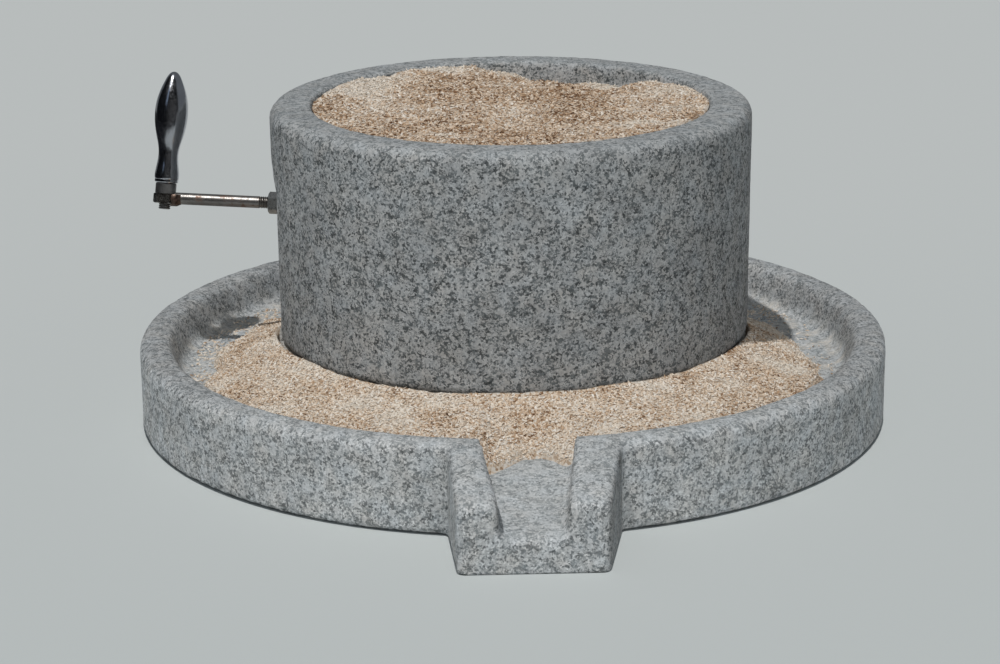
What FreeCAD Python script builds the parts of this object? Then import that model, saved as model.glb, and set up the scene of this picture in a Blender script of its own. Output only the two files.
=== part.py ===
"""Hand-turned granite grain mill: a lipped tray with a pouring spout, a bed stone, and a runner stone with a
hopper in its top, turned by a steel crank with a spinning grip.

Millimetres. +Z is up. The origin is on the mill's axis, on the plane that the tray stands on. The spout
points along -Y. Each function makes one piece, and the table at the end writes one STEP file for each.
"""

import FreeCAD
import Part
import math
import os

# ---- driving dimensions -------------------------------------------------------------------------------
# Tray
TRAY_R = 250.0
RIM_TOP = 56.5
RIM_WIDTH = 20.0
RIM_ROUND = 6.8
TROUGH_FLOOR = 33.0
TROUGH_CORNER = 8.0
TROUGH_R = 222.0
FOOT_ROUND = 3.0
SPOUT_REACH = 58.5
SPOUT_ROOT_SIDES = (-49.0, 57.0)
SPOUT_TIP_SIDES = (-44.0, 44.0)
SPOUT_TIP_TOP = 42.5
SPOUT_ROUND = 5.0
CHANNEL_ROOT_WIDTHS = (55.0, 61.0)
CHANNEL_TIP_WIDTHS = (36.5, 40.0)
CHANNEL_LIP = 20.5
CHANNEL_CORNER = 5.0
LIP_ROUND = 5.0
# Bed stone and its seat in the tray
SEAT_R = 159.5
SEAT_FLOOR = 28.0
MORTAR = 2.0
BED_R = 157.0
BED_TOP = 56.0
# Pivot pin
SOCKET_R = 17.0
SOCKET_FLOOR = 13.0
PIN_FOOT = 16.0
PIN_FOOT_R = 9.0
PIN_KEY_HEIGHTS = (24.0, 38.0)
PIN_KEY_LENGTH = 8.0
PIN_KEY_SLOPE = 2.0
PIN_KEY_DEPTH = 1.6
PIN_COLLAR_R = 15.0
PIN_COLLAR_LOW = 52.0
PIN_COLLAR_TOP = 58.0
PIN_R = 10.0
PIN_TOP = 100.0
RUNNING_GAP = 0.06
WASHER = 2.0
# Runner stone
RUNNER_LOW = 57.0
RUNNER_TOP = 211.5
RUNNER_R = 158.8
RUNNER_FOOT_R = 157.8
RUNNER_TOP_ROUND = 8.0
RUNNER_FOOT_ROUND = 5.0
HOPPER_R = 131.0
HOPPER_DEPTH = 27.0
HOPPER_DRAFT = 3.0
HOPPER_CORNER = 9.0
HOPPER_LIP_ROUND = 3.5
EYE_R = 18.0
EYE_FROM_AXIS = 72.0
EYE_AZIMUTH = 52.0
POCKET_R = 22.0
BUSH_R = 15.0
BUSH_CROWN = 5.0
FLAT_DEPTH = 6.0
FLAT_AZIMUTH = 178.0
FLAT_TOP = 160.0
FLAT_FADE = 24.0
# Grinding dress, the same on both faces
HARPS = 8
FURROWS_PER_HARP = 4
FURROW_WIDTH = 5.0
FURROW_DEPTH = 1.6
FURROW_PITCH = 24.0
FURROW_DRAFT = 20.0
BOSOM_R = 36.0
# Crank arm: M8 bar, stations measured along it from the mill's axis
ARM_AZIMUTH = 173.15
ARM_RISE = 2.0
ARM_HEIGHT = 139.55
ARM_HEIGHT_AT = 158.0
M8_R = 4.0
M8_ROOT_R = 3.45
M8_PITCH = 1.25
M8_ACROSS_FLATS = 13.0
ARM_INNER_END = 118.0
THREAD_END = 169.3
ANCHOR_INNER_END = 114.0
ANCHOR_OUTER_END = 157.1
ANCHOR_R = 6.0
ANCHOR_HOLE_R = 8.0
LOCK_NUT = 6.5
EYE_STATION = 234.2
WELD_NUT_ACROSS_FLATS = 14.0
WELD_REACH = 3.2
WELD_R = 5.4
# Handle: heights measured along the spindle from the bar's axis. It leans towards the mill and trails
# to the back.
SPINDLE_LEAN = 4.35
SPINDLE_TRAIL = 13.0
TAIL_END = -7.5
WELD_NUT_LOW = -3.6
WELD_NUT_TOP = 3.1
COLLAR_R = 7.0
COLLAR_TOP = 10.1
JOURNAL_TOP = 72.0
CLIP_LOW = 67.2
CLIP_THICK = 1.2
CLIP_GROOVE_R = 3.2
CLIP_R = 4.9
CLIP_GAP = 2.6
LINER_R = 5.2
LINER_TOP = 67.0
FERRULE_LOW = 10.3
FERRULE_TOP = 12.5
FERRULE_R = 7.9
FERRULE_ROUND = 0.9
SHELL_FLARE = (8.15, 14.8)
SHELL_NECK = (7.15, 22.9)
SHELL_WAIST = (6.86, 32.5)
SHELL_SWELL = (8.75, 40.6)
SHELL_LOW_BELLY = (10.65, 50.2)
SHELL_BELLY = (10.9, 60.2)
SHELL_SHOULDER = (9.1, 70.2)
SHELL_CROWN = (6.0, 78.3)
SHELL_TIP = 84.95
SHELL_BORE_TOP = 74.5

UP = FreeCAD.Vector(0, 0, 1)
ORIGIN = FreeCAD.Vector(0, 0, 0)


# ---- helpers ------------------------------------------------------------------------------------------
def vec(x, y, z=0.0):
    return FreeCAD.Vector(x, y, z)


def rounded_wire(corners):
    """Closed wire in the XZ plane through corners (x, z) or (x, z, corner radius)."""
    points = [vec(c[0], 0, c[1]) for c in corners]
    radii = [c[2] if len(c) > 2 else 0.0 for c in corners]
    edges, ends = [], []
    for i, here in enumerate(points):
        before, after = points[i - 1], points[(i + 1) % len(points)]
        if not radii[i]:
            ends.append((here, here))
            continue
        back = (before - here).normalize()
        ahead = (after - here).normalize()
        half = back.getAngle(ahead) / 2
        reach = radii[i] / math.tan(half)
        bisector = (back + ahead).normalize()
        middle = here + bisector * (radii[i] / math.sin(half) - radii[i])
        start, end = here + back * reach, here + ahead * reach
        edges.append((i, Part.Arc(start, middle, end).toShape()))
        ends.append((start, end))
    loop = []
    for i in range(len(points)):
        loop += [edge for at, edge in edges if at == i]
        start, end = ends[i][1], ends[(i + 1) % len(points)][0]
        if start.distanceToPoint(end) > 1e-6:
            loop.append(Part.LineSegment(start, end).toShape())
    return Part.Wire(loop)


def turned(corners):
    """Solid of revolution about Z. Corners are (radius, height) or (radius, height, corner radius)."""
    return Part.Face(rounded_wire(corners)).revolve(ORIGIN, UP, 360)


def ring(inner, outer, low, top):
    return turned([(inner, low), (outer, low), (outer, top), (inner, top)])


def rod(radius, low, top):
    return Part.makeCylinder(radius, top - low, vec(0, 0, low))


def placed(shape, origin, direction):
    """The shape with its own Z axis laid along direction, and its origin moved to origin."""
    moved = shape.copy()
    moved.Placement = FreeCAD.Placement(origin, FreeCAD.Rotation(UP, direction)) * shape.Placement
    return moved


def hexagon(across_flats, low, top, chamfer):
    """Hexagonal prism about Z whose corners are turned off at both ends."""
    corner_r = across_flats / math.sqrt(3)
    points = [
        vec(corner_r * math.cos(math.radians(60 * i)), corner_r * math.sin(math.radians(60 * i)), low)
        for i in range(6)
    ]
    prism = Part.Face(Part.makePolygon(points + points[:1])).extrude(vec(0, 0, top - low))
    flat_r = across_flats / 2 * 0.97
    rise = (corner_r - flat_r) * chamfer
    blank = turned(
        [
            (0, low),
            (flat_r, low),
            (corner_r + 0.01, low + rise),
            (corner_r + 0.01, top - rise),
            (flat_r, top),
            (0, top),
        ]
    )
    return prism.common(blank)


def at_azimuth(shape, degrees):
    turned_copy = shape.copy()
    turned_copy.rotate(ORIGIN, UP, degrees)
    return turned_copy


def m8_thread(low, top):
    """Outline of an M8 thread turned as rings, at its true pitch and depth, starting at its root."""
    outline = [(M8_ROOT_R, low)]
    for i in range(int((top - low) / M8_PITCH)):
        root = low + i * M8_PITCH
        outline.append((M8_R, root + M8_PITCH * 0.44))
        outline.append((M8_R, root + M8_PITCH * 0.56))
        outline.append((M8_ROOT_R, root + M8_PITCH))
    return outline


# ---- crank and spindle axes ---------------------------------------------------------------------------
azimuth, rise = math.radians(ARM_AZIMUTH), math.radians(ARM_RISE)
lean, trail = math.radians(SPINDLE_LEAN), math.radians(SPINDLE_TRAIL)
OUTWARD = vec(math.cos(azimuth), math.sin(azimuth))
BACKWARD = OUTWARD.cross(UP)
ARM_DIRECTION = OUTWARD * math.cos(rise) + UP * math.sin(rise)
ARM_START = UP * (ARM_HEIGHT - ARM_HEIGHT_AT * math.tan(rise))
SPINDLE_FOOT = ARM_START + ARM_DIRECTION * EYE_STATION
SPINDLE_DIRECTION = (UP - OUTWARD * math.tan(lean) + BACKWARD * math.tan(trail)).normalize()


def on_arm(shape):
    return placed(shape, ARM_START, ARM_DIRECTION)


def on_spindle(shape):
    """Lays the shape along the spindle with its own X axis pointing away from the mill."""
    return placed(at_azimuth(shape, ARM_AZIMUTH), SPINDLE_FOOT, SPINDLE_DIRECTION)


# ---- grinding dress -----------------------------------------------------------------------------------
def furrows(face_z, upward):
    """Straight furrows in harps: a master furrow beside the axis, and shorter ones parallel to it."""
    sector = math.radians(360 / HARPS)
    low = face_z - FURROW_DEPTH if upward else face_z - 1.0
    height = FURROW_DEPTH + 1.0
    cutters = []
    for i in range(FURROWS_PER_HARP):
        offset = FURROW_DRAFT + i * FURROW_PITCH
        to_next_master = (offset * math.cos(sector) - FURROW_DRAFT) / math.sin(sector)
        start = to_next_master + FURROW_WIDTH * 2 if i else math.sqrt(BOSOM_R**2 - FURROW_DRAFT**2)
        length = math.sqrt((RUNNER_R + 3) ** 2 - offset**2) - start
        bar = Part.makeBox(length, FURROW_WIDTH, height, vec(start, offset, low))
        cutters += [at_azimuth(bar, 360 / HARPS * harp) for harp in range(HARPS)]
    return cutters


# ---- base ---------------------------------------------------------------------------------------------
def tray():
    rim_inner = TRAY_R - RIM_WIDTH
    dish = turned(
        [
            (0, 0),
            (TRAY_R, 0, FOOT_ROUND),
            (TRAY_R, RIM_TOP, RIM_ROUND),
            (rim_inner, RIM_TOP, RIM_ROUND),
            (TROUGH_R, TROUGH_FLOOR, TROUGH_CORNER),
            (SEAT_R, TROUGH_FLOOR),
            (SEAT_R, SEAT_FLOOR),
            (SOCKET_R, SEAT_FLOOR),
            (SOCKET_R, SOCKET_FLOOR),
            (0, SOCKET_FLOOR),
        ]
    )
    return dish.cut(spout_channel()).fuse(spout_block()).removeSplitter()


def spout_block():
    """The two cheeks and the apron below them, with the channel between."""
    root_y, tip_y = -(TRAY_R - RIM_WIDTH * 0.7), -(TRAY_R + SPOUT_REACH)
    plan = [vec(x, root_y) for x in SPOUT_ROOT_SIDES] + [vec(x, tip_y) for x in reversed(SPOUT_TIP_SIDES)]
    block = Part.Face(Part.makePolygon(plan + plan[:1])).extrude(vec(0, 0, RIM_TOP))
    slope_from = -(TRAY_R - RIM_ROUND)
    left, right = SPOUT_ROOT_SIDES
    above = [
        vec(left, slope_from, RIM_TOP),
        vec(left, tip_y, SPOUT_TIP_TOP),
        vec(left, tip_y - 1, RIM_TOP + 1),
        vec(left, slope_from, RIM_TOP + 1),
    ]
    block = block.cut(Part.Face(Part.makePolygon(above + above[:1])).extrude(vec(right - left, 0, 0)))
    outer = [e for e in block.Edges if e.BoundBox.YMin < slope_from - 1 and e.BoundBox.ZMax > 1]
    block = block.makeFillet(SPOUT_ROUND, outer).cut(spout_channel())
    lip_top = CHANNEL_LIP + 2 * CHANNEL_CORNER
    front = [e for e in block.Edges if e.BoundBox.YMax < tip_y + 1]
    lip = [e for e in front if e.BoundBox.ZMin > 1 and e.BoundBox.ZMax < lip_top]
    return block.makeFillet(LIP_ROUND, lip)


def spout_channel():
    """Cutter from the trough out through the rim and down to the lip."""
    root_y, tip_y = -(TROUGH_R - TROUGH_CORNER), -(TRAY_R + SPOUT_REACH + 2)
    high = RIM_TOP + 2
    ends = []
    for y, floor, (low_width, top_width) in (
        (root_y, TROUGH_FLOOR, CHANNEL_ROOT_WIDTHS),
        (tip_y, CHANNEL_LIP, CHANNEL_TIP_WIDTHS),
    ):
        low, top = low_width / 2, top_width / 2
        wire = rounded_wire(
            [(-low, floor, CHANNEL_CORNER), (low, floor, CHANNEL_CORNER), (top, high), (-top, high)]
        )
        wire.translate(vec(0, y, 0))
        ends.append(wire)
    return Part.makeLoft(ends, True, True)


def bedding_mortar():
    bed_low = SEAT_FLOOR + MORTAR
    return turned(
        [
            (SOCKET_R, SEAT_FLOOR),
            (SEAT_R, SEAT_FLOOR),
            (SEAT_R, TROUGH_FLOOR),
            (BED_R, TROUGH_FLOOR),
            (BED_R, bed_low),
            (SOCKET_R, bed_low),
        ]
    )


def bed_stone():
    disc = turned(
        [
            (SOCKET_R, SEAT_FLOOR + MORTAR),
            (BED_R, SEAT_FLOOR + MORTAR),
            (BED_R, BED_TOP, 1.5),
            (SOCKET_R, BED_TOP),
        ]
    )
    return disc.cut(furrows(BED_TOP, True))


def pivot_pin():
    """Steel pin with a turned collar. Two waists in its foot key it to the lead."""
    outline = [(0, PIN_FOOT), (PIN_FOOT_R, PIN_FOOT, 1.0)]
    for low in PIN_KEY_HEIGHTS:
        top = low + PIN_KEY_LENGTH
        outline += [
            (PIN_FOOT_R, low),
            (PIN_FOOT_R - PIN_KEY_DEPTH, low + PIN_KEY_SLOPE),
            (PIN_FOOT_R - PIN_KEY_DEPTH, top - PIN_KEY_SLOPE),
            (PIN_FOOT_R, top),
        ]
    outline += [
        (PIN_FOOT_R, PIN_COLLAR_LOW),
        (PIN_COLLAR_R, PIN_COLLAR_LOW, 0.6),
        (PIN_COLLAR_R, PIN_COLLAR_TOP, 0.6),
        (PIN_R, PIN_COLLAR_TOP),
        (PIN_R, PIN_TOP, 4.0),
        (0, PIN_TOP),
    ]
    return turned(outline)


def pin_lead():
    """Lead run round the pin's foot."""
    return rod(SOCKET_R, SOCKET_FLOOR, PIN_COLLAR_LOW).cut(pivot_pin())


# ---- thrust ring --------------------------------------------------------------------------------------
def thrust_washer():
    return ring(PIN_R + RUNNING_GAP, PIN_COLLAR_R, PIN_COLLAR_TOP, PIN_COLLAR_TOP + WASHER)


# ---- runner -------------------------------------------------------------------------------------------
BUSH_LOW = PIN_COLLAR_TOP + WASHER
BUSH_BORE_TOP = PIN_TOP + 1
BUSH_TOP = BUSH_BORE_TOP + BUSH_CROWN
POCKET_TOP = BUSH_TOP + 2
LEAD_LOW = BUSH_LOW + 1


def runner_pocket():
    """Round hole for the bush and the lead that holds it."""
    return rod(POCKET_R, RUNNER_LOW - 1, POCKET_TOP)


def runner_flat():
    """Slab that trims the side where the crank goes in, fading out below the rim."""
    reach, outside, half_width = RUNNER_R - FLAT_DEPTH, RUNNER_R + 20, 100
    side = [
        vec(reach, -half_width, RUNNER_LOW - 1),
        vec(reach, -half_width, FLAT_TOP),
        vec(RUNNER_R + 1, -half_width, FLAT_TOP + FLAT_FADE),
        vec(outside, -half_width, FLAT_TOP + FLAT_FADE),
        vec(outside, -half_width, RUNNER_LOW - 1),
    ]
    slab = Part.Face(Part.makePolygon(side + side[:1])).extrude(vec(0, 2 * half_width, 0))
    return at_azimuth(slab, FLAT_AZIMUTH)


def runner_stone():
    floor = RUNNER_TOP - HOPPER_DEPTH
    body = turned(
        [
            (0, RUNNER_LOW),
            (RUNNER_FOOT_R, RUNNER_LOW, RUNNER_FOOT_ROUND),
            (RUNNER_R, RUNNER_TOP, RUNNER_TOP_ROUND),
            (HOPPER_R, RUNNER_TOP, HOPPER_LIP_ROUND),
            (HOPPER_R - HOPPER_DRAFT, floor, HOPPER_CORNER),
            (0, floor),
        ]
    )
    eye = at_azimuth(
        Part.makeCylinder(EYE_R, RUNNER_TOP, vec(EYE_FROM_AXIS, 0, RUNNER_LOW - 5)), EYE_AZIMUTH
    )
    anchor_hole = on_arm(rod(ANCHOR_HOLE_R, ANCHOR_INNER_END - 2, RUNNER_R + 10))
    body = body.cut([runner_pocket(), runner_flat(), eye, anchor_hole])
    return body.cut(furrows(RUNNER_LOW, False))


def bush_blank():
    return turned([(0, BUSH_LOW), (BUSH_R, BUSH_LOW, 0.6), (BUSH_R, BUSH_TOP, 1.0), (0, BUSH_TOP)])


def runner_bush():
    """Iron cup that runs on the pin."""
    return bush_blank().cut(rod(PIN_R + RUNNING_GAP, BUSH_LOW - 1, BUSH_BORE_TOP))


def bush_lead():
    return rod(POCKET_R, LEAD_LOW, POCKET_TOP).cut(bush_blank())


def arm_anchor():
    return on_arm(ring(M8_R, ANCHOR_R, ANCHOR_INNER_END, ANCHOR_OUTER_END))


def anchor_resin():
    sleeve = ring(ANCHOR_R, ANCHOR_HOLE_R, ANCHOR_INNER_END, RUNNER_R)
    plug = rod(ANCHOR_HOLE_R, ANCHOR_INNER_END - 2, ANCHOR_INNER_END)
    return on_arm(sleeve.fuse(plug)).cut(runner_flat()).removeSplitter()


def crank_arm():
    """M8 bar, threaded where it goes into the stone, and welded to the nut at its outer end."""
    outline = [(0, ARM_INNER_END)] + m8_thread(ARM_INNER_END, THREAD_END)
    outline += [(M8_R, THREAD_END + M8_R - M8_ROOT_R), (M8_R, EYE_STATION), (0, EYE_STATION)]
    return on_arm(turned(outline)).cut([weld_nut_blank(), collar_room()])


def arm_lock_nut():
    nut = hexagon(M8_ACROSS_FLATS, ANCHOR_OUTER_END, ANCHOR_OUTER_END + LOCK_NUT, 0.6)
    bore = rod(M8_R, ANCHOR_OUTER_END - 1, ANCHOR_OUTER_END + LOCK_NUT + 1)
    return on_arm(nut.cut(bore))


def weld_nut_blank():
    return on_spindle(hexagon(WELD_NUT_ACROSS_FLATS, WELD_NUT_LOW, WELD_NUT_TOP, 0.5))


def collar_room():
    """Space above the nut that the bar leaves for the spindle's collar."""
    return on_spindle(rod(COLLAR_R + RUNNING_GAP, WELD_NUT_TOP, COLLAR_TOP))


def eye_nut():
    """M8 nut welded to the bar's end. The handle screws into it, and one corner points along the bar."""
    return weld_nut_blank().cut(on_spindle(rod(M8_R, WELD_NUT_LOW - 1, WELD_NUT_TOP + 1)))


def eye_weld():
    """Weld round the bar where it meets the nut."""
    corner = EYE_STATION - WELD_NUT_ACROSS_FLATS / math.sqrt(3)
    start, end = corner - WELD_REACH, EYE_STATION - M8_R
    bead = turned([(M8_R, start), (WELD_R, corner, 1.5), (WELD_R, end), (M8_R, end)])
    below_collar = on_spindle(rod(WELD_NUT_ACROSS_FLATS, WELD_NUT_TOP - RUNNING_GAP, COLLAR_TOP))
    return on_arm(bead).cut([weld_nut_blank(), crank_arm(), below_collar])


def handle_spindle():
    clip_top = CLIP_LOW + CLIP_THICK
    return on_spindle(
        turned(
            [
                (0, TAIL_END),
                *m8_thread(TAIL_END, WELD_NUT_TOP - M8_PITCH),
                (M8_ROOT_R, WELD_NUT_TOP),
                (COLLAR_R, WELD_NUT_TOP, 0.5),
                (COLLAR_R, COLLAR_TOP, 0.8),
                (M8_R, COLLAR_TOP),
                (M8_R, CLIP_LOW),
                (CLIP_GROOVE_R, CLIP_LOW),
                (CLIP_GROOVE_R, clip_top),
                (M8_R, clip_top),
                (M8_R, JOURNAL_TOP, 1.0),
                (0, JOURNAL_TOP),
            ]
        )
    )


def grip_circlip():
    band = ring(CLIP_GROOVE_R, CLIP_R, CLIP_LOW, CLIP_LOW + CLIP_THICK)
    gap = Part.makeBox(CLIP_R * 2, CLIP_GAP, CLIP_THICK * 3, vec(0, -CLIP_GAP / 2, CLIP_LOW - CLIP_THICK))
    return on_spindle(band.cut(gap))


# ---- grip ---------------------------------------------------------------------------------------------
def grip_shell():
    """Hollow turned handle: flared foot, narrow waist, full belly and a rounded tip."""
    foot_r = FERRULE_R - 0.15
    through = [
        (foot_r, FERRULE_TOP),
        SHELL_FLARE,
        SHELL_NECK,
        SHELL_WAIST,
        SHELL_SWELL,
        SHELL_LOW_BELLY,
        SHELL_BELLY,
        SHELL_SHOULDER,
        SHELL_CROWN,
        (0, SHELL_TIP),
    ]
    points = [vec(r, 0, z) for r, z in through]
    lengths = [0.0]
    for here, there in zip(points, points[1:], strict=False):
        lengths.append(lengths[-1] + here.distanceToPoint(there))
    outline = Part.BSplineCurve()
    outline.interpolate(
        Points=points,
        Parameters=lengths,
        InitialTangent=vec(0.45, 0, 0.9),
        FinalTangent=vec(-1, 0, 0),
        Scale=False,
    )
    bore = [
        vec(0, 0, SHELL_TIP),
        vec(0, 0, SHELL_BORE_TOP + LINER_R * 0.5),
        vec(LINER_R, 0, SHELL_BORE_TOP),
        vec(LINER_R, 0, FERRULE_TOP),
        vec(foot_r, 0, FERRULE_TOP),
    ]
    edges = [outline.toShape()]
    edges += [Part.LineSegment(a, b).toShape() for a, b in zip(bore, bore[1:], strict=False)]
    return on_spindle(Part.Face(Part.Wire(edges)).revolve(ORIGIN, UP, 360))


def grip_ferrule():
    inner = M8_R + RUNNING_GAP * 4
    return on_spindle(
        turned(
            [
                (inner, FERRULE_LOW),
                (FERRULE_R, FERRULE_LOW, FERRULE_ROUND),
                (FERRULE_R, FERRULE_TOP),
                (inner, FERRULE_TOP),
            ]
        )
    )


def grip_liner():
    return on_spindle(ring(M8_R + RUNNING_GAP, LINER_R, FERRULE_TOP, LINER_TOP))


PIECES = {
    "tray": tray,
    "bedding_mortar": bedding_mortar,
    "bed_stone": bed_stone,
    "pivot_pin": pivot_pin,
    "pin_lead": pin_lead,
    "thrust_washer": thrust_washer,
    "runner_stone": runner_stone,
    "runner_bush": runner_bush,
    "bush_lead": bush_lead,
    "arm_anchor": arm_anchor,
    "anchor_resin": anchor_resin,
    "arm_lock_nut": arm_lock_nut,
    "crank_arm": crank_arm,
    "eye_nut": eye_nut,
    "eye_weld": eye_weld,
    "handle_spindle": handle_spindle,
    "grip_circlip": grip_circlip,
    "grip_shell": grip_shell,
    "grip_ferrule": grip_ferrule,
    "grip_liner": grip_liner,
}

os.makedirs("parts", exist_ok=True)
for name, make in PIECES.items():
    shape = make()
    box = shape.optimalBoundingBox(False)
    shape.exportStep(f"parts/{name}.step")
    print(
        f"{name:15s} {len(shape.Solids)} solid, valid {shape.isValid()}, {shape.Volume / 1000:10.2f} cm3,",
        f"x {box.XMin:.1f}..{box.XMax:.1f}, y {box.YMin:.1f}..{box.YMax:.1f}, z {box.ZMin:.1f}..{box.ZMax:.1f}",
    )
print("spindle foot", tuple(round(c, 4) for c in SPINDLE_FOOT))
print("spindle direction", tuple(round(c, 6) for c in SPINDLE_DIRECTION))
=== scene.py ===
"""Granite grain mill on a pale floor in even daylight, with grain in its hopper and meal in its tray.

Metres, in the CAD frame: +Z up, the spout along -Y, the mill's axis on the Z axis. The stones are finer
meshes made from the CAD solids, and the grain and meal are heaps with flakes scattered over them.
"""

import math

import bmesh
import bpy
import numpy as np
from mathutils import Matrix, Vector
from mathutils.bvhtree import BVHTree


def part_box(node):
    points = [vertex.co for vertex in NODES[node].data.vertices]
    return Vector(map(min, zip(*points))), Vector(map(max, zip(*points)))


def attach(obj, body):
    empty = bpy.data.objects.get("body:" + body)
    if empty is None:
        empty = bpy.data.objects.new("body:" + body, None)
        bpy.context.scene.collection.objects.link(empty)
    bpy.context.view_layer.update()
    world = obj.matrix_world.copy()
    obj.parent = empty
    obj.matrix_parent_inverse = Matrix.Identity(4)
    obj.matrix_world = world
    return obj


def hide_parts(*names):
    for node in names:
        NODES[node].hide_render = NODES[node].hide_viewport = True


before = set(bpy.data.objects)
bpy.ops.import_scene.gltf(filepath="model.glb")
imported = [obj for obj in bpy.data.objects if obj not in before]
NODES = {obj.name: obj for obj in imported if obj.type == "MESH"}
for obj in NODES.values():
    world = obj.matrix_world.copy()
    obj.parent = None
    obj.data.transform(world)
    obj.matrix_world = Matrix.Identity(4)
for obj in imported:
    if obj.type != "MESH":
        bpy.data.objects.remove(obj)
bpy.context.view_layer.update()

# ---- sizes read from the CAD frame, and the few inner ones that no box gives -----------------------------
RIM_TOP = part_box("tray")[1][2]
TROUGH_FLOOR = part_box("bedding_mortar")[1][2]
RUNNER_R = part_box("runner_stone")[1][1]
RUNNER_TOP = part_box("runner_stone")[1][2]
TROUGH_R = 0.222
RIM_INNER = 0.230
HOPPER_FLOOR = RUNNER_TOP - 0.027
# the spout's channel, at the trough and at the lip: y, height of its floor, half its width
CHANNEL = ((-0.214, 0.0330, 0.0285), (-0.3105, 0.0205, 0.0190))
MM = 0.001

# ---- camera and light ------------------------------------------------------------------------------------
CAMERA_DISTANCE = 1.82749
CAMERA_ELEVATION = 18.354
CAMERA_AZIMUTH = -2.1
CAMERA_YAW = -0.266
CAMERA_PITCH = 1.553
CAMERA_ROLL = -0.458
CAMERA_LENS = 96.45
SUN_TRAVEL = (0.227, 0.333, -1.0)
SUN_STRENGTH = 1.95
SUN_ANGLE = 1.0
FILL_TRAVEL = (-0.15, 0.65, -0.06)
FILL_STRENGTH = 0.95
FILL_ANGLE = 60.0
FLOOR_LIGHT = 2.03
FLOOR_LIGHT_ANGLE = 1.0
SUNLIGHT = (1.0, 0.985, 0.965)
SKY = (0.158, 0.171, 0.184)
# the two ends of the floor's painted shade: darker near the camera, paler far away
FLOOR_NEAR = (0.555, 0.600, 0.600)
FLOOR_FAR = (0.610, 0.640, 0.637)


# ---- repeatable noise ------------------------------------------------------------------------------------
def cell_noise(cells, seed):
    """A repeatable number from 0 to 1 for each whole-numbered cell."""
    with np.errstate(over="ignore"):
        c = cells.astype(np.int64).astype(np.uint64)
        h = c[..., 0] * np.uint64(374761393) + c[..., 1] * np.uint64(668265263)
        h += c[..., 2] * np.uint64(2147483647) + np.uint64(seed * 974711 + 97)
        h = (h ^ (h >> np.uint64(13))) * np.uint64(1274126177)
        h = (h ^ (h >> np.uint64(16))) * np.uint64(2246822519)
    return ((h >> np.uint64(11)) & np.uint64(0xFFFFFF)).astype(float) / 0xFFFFFF


def noise(points, size, seed):
    """Smooth noise from -1 to 1, with features about size metres across."""
    p = np.asarray(points) / size
    cell = np.floor(p)
    t = p - cell
    t = t * t * (3 - 2 * t)
    total = np.zeros(len(p))
    for corner in np.ndindex(2, 2, 2):
        weight = np.prod(np.where(corner, t, 1 - t), axis=1)
        total += weight * cell_noise(cell + np.array(corner), seed)
    return total * 2 - 1


def rough(points, size, octaves, seed):
    """Noise summed over octaves, each half the size and half the strength of the last."""
    total, weight = np.zeros(len(points)), 0.0
    for i in range(octaves):
        total += noise(points, size / 2**i, seed + i) / 2**i
        weight += 1 / 2**i
    return total / weight


def smoothstep(low, high, x):
    """0 at low, 1 at high, with a smooth ramp between. Low may be the larger of the two."""
    t = np.clip((x - low) / (high - low), 0, 1)
    return t * t * (3 - 2 * t)


# ---- meshes ----------------------------------------------------------------------------------------------
def new_piece(name, verts, faces, material, smooth=True, **attributes):
    """A mesh object from arrays. Faces are rows of three or four corners, and each attribute has one number
    per corner."""
    mesh = bpy.data.meshes.new(name)
    mesh.vertices.add(len(verts))
    mesh.vertices.foreach_set("co", np.asarray(verts, np.float32).ravel())
    mesh.loops.add(faces.size)
    mesh.loops.foreach_set("vertex_index", np.asarray(faces, np.int32).ravel())
    mesh.polygons.add(len(faces))
    mesh.polygons.foreach_set("loop_start", np.arange(0, faces.size, faces.shape[1], dtype=np.int32))
    mesh.update(calc_edges=True)
    mesh.validate()
    for key, values in attributes.items():
        put_attribute(mesh, key, values)
    mesh.shade_smooth() if smooth else mesh.shade_flat()
    mesh.materials.append(material)
    piece = bpy.data.objects.new(name, mesh)
    bpy.context.scene.collection.objects.link(piece)
    return piece


def put_attribute(mesh, key, values):
    mesh.attributes.new(key, "FLOAT", "POINT").data.foreach_set("value", np.asarray(values, np.float32))


def vertex_array(mesh):
    co = np.empty(len(mesh.vertices) * 3, np.float32)
    mesh.vertices.foreach_get("co", co)
    return co.reshape(-1, 3).astype(float)


def normal_array(mesh):
    no = np.empty(len(mesh.vertices) * 3, np.float32)
    mesh.vertices.foreach_get("normal", no)
    return no.reshape(-1, 3).astype(float)


SMOOTHING_ROUNDS = 5
DEEPEST_CHIP, CHIP_SIZE = 1.2 * MM, 7 * MM
SHELTERED_FOOT = 12 * MM
WAVE_DEPTH, WAVE_SIZE = 0.16 * MM, 26 * MM
GRAIN_DEPTH, GRAIN_SIZE = 0.10 * MM, 4 * MM
PIT_DEPTH, PIT_SIZE = 0.25 * MM, 3.2 * MM


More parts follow.
